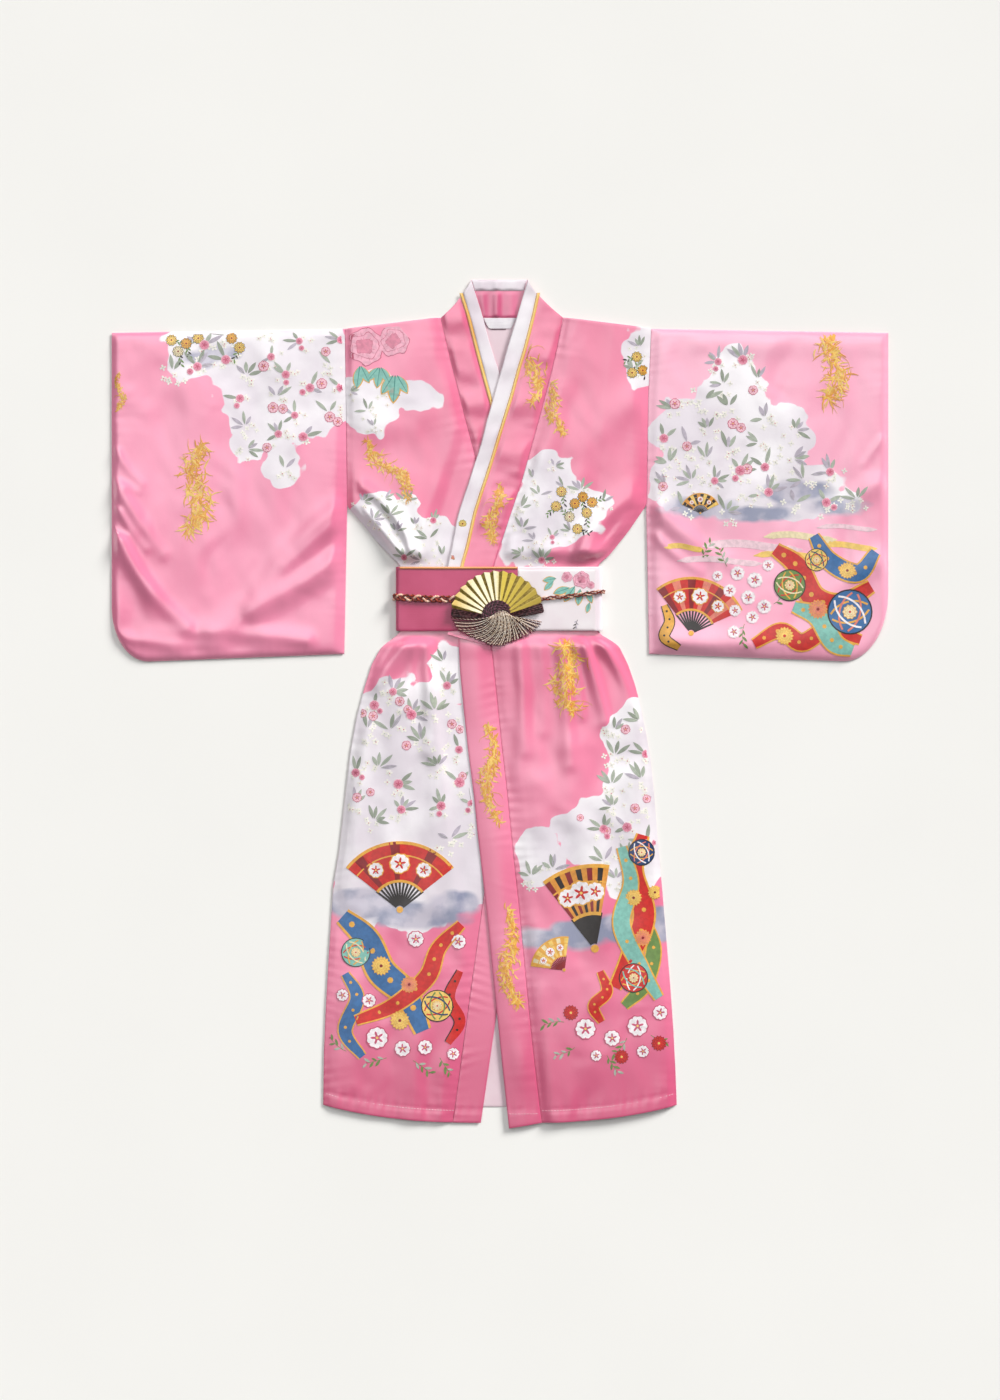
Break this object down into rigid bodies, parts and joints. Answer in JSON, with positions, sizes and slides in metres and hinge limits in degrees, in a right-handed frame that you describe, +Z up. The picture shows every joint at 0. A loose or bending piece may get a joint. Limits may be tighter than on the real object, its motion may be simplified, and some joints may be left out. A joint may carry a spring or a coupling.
{
  "type": "kimono robe with belt",
  "caption": "Women's satin kimono robe laid flat, with wide sleeves, crossed collar, belt, braided cord and fan ornament.",
  "frame": {"origin": "on the surface the robe lies on, at the middle of its width and of its length", "axes": "+Y from the hem towards the collar, +X towards the wearer's left sleeve, +Z up from the surface, out of the front"},
  "size_m": [1.164, 1.272, 0.0284],
  "materials": {
    "satin": "printed polyester satin, smooth and glossy",
    "satin_reverse": "matt reverse of printed satin",
    "collar_white": "white satin",
    "piping": "yellow satin piping",
    "label": "woven white tape",
    "belt": "stiffened pink twill",
    "belt_print": "printed polyester satin",
    "belt_piping": "orange-gold satin piping",
    "cord": "braided glossy cord, rust red with copper and white",
    "fan_gold": "pleated metallic gold foil cloth",
    "fan_dark": "dark red-brown, ribbed",
    "tassel": "twisted brown and pale gold threads"
  },
  "bodies": {
    "root": {"back": "satin_reverse", "front_right": "satin", "front_left": "satin", "overlap_right": "satin", "overlap_left": "satin", "collar_right": "satin", "collar_left": "satin", "collar_back": "satin", "inner_collar_right": "collar_white", "inner_collar_left": "collar_white", "inner_collar_back": "collar_white", "collar_piping_right": "piping", "collar_piping_left": "piping", "neck_label": "label", "sleeve_right": "satin", "sleeve_left": "satin", "obi_band": "belt", "obi_print_panel": "belt_print", "obi_piping": "belt_piping", "waist_tuck": "satin", "braid_cord": "cord", "fan_leaf": "fan_gold", "fan_guard_right": "fan_dark", "fan_guard_left": "fan_dark", "fan_hub": "fan_dark", "fan_tassel": "tassel"}
  },
  "joints": []
}
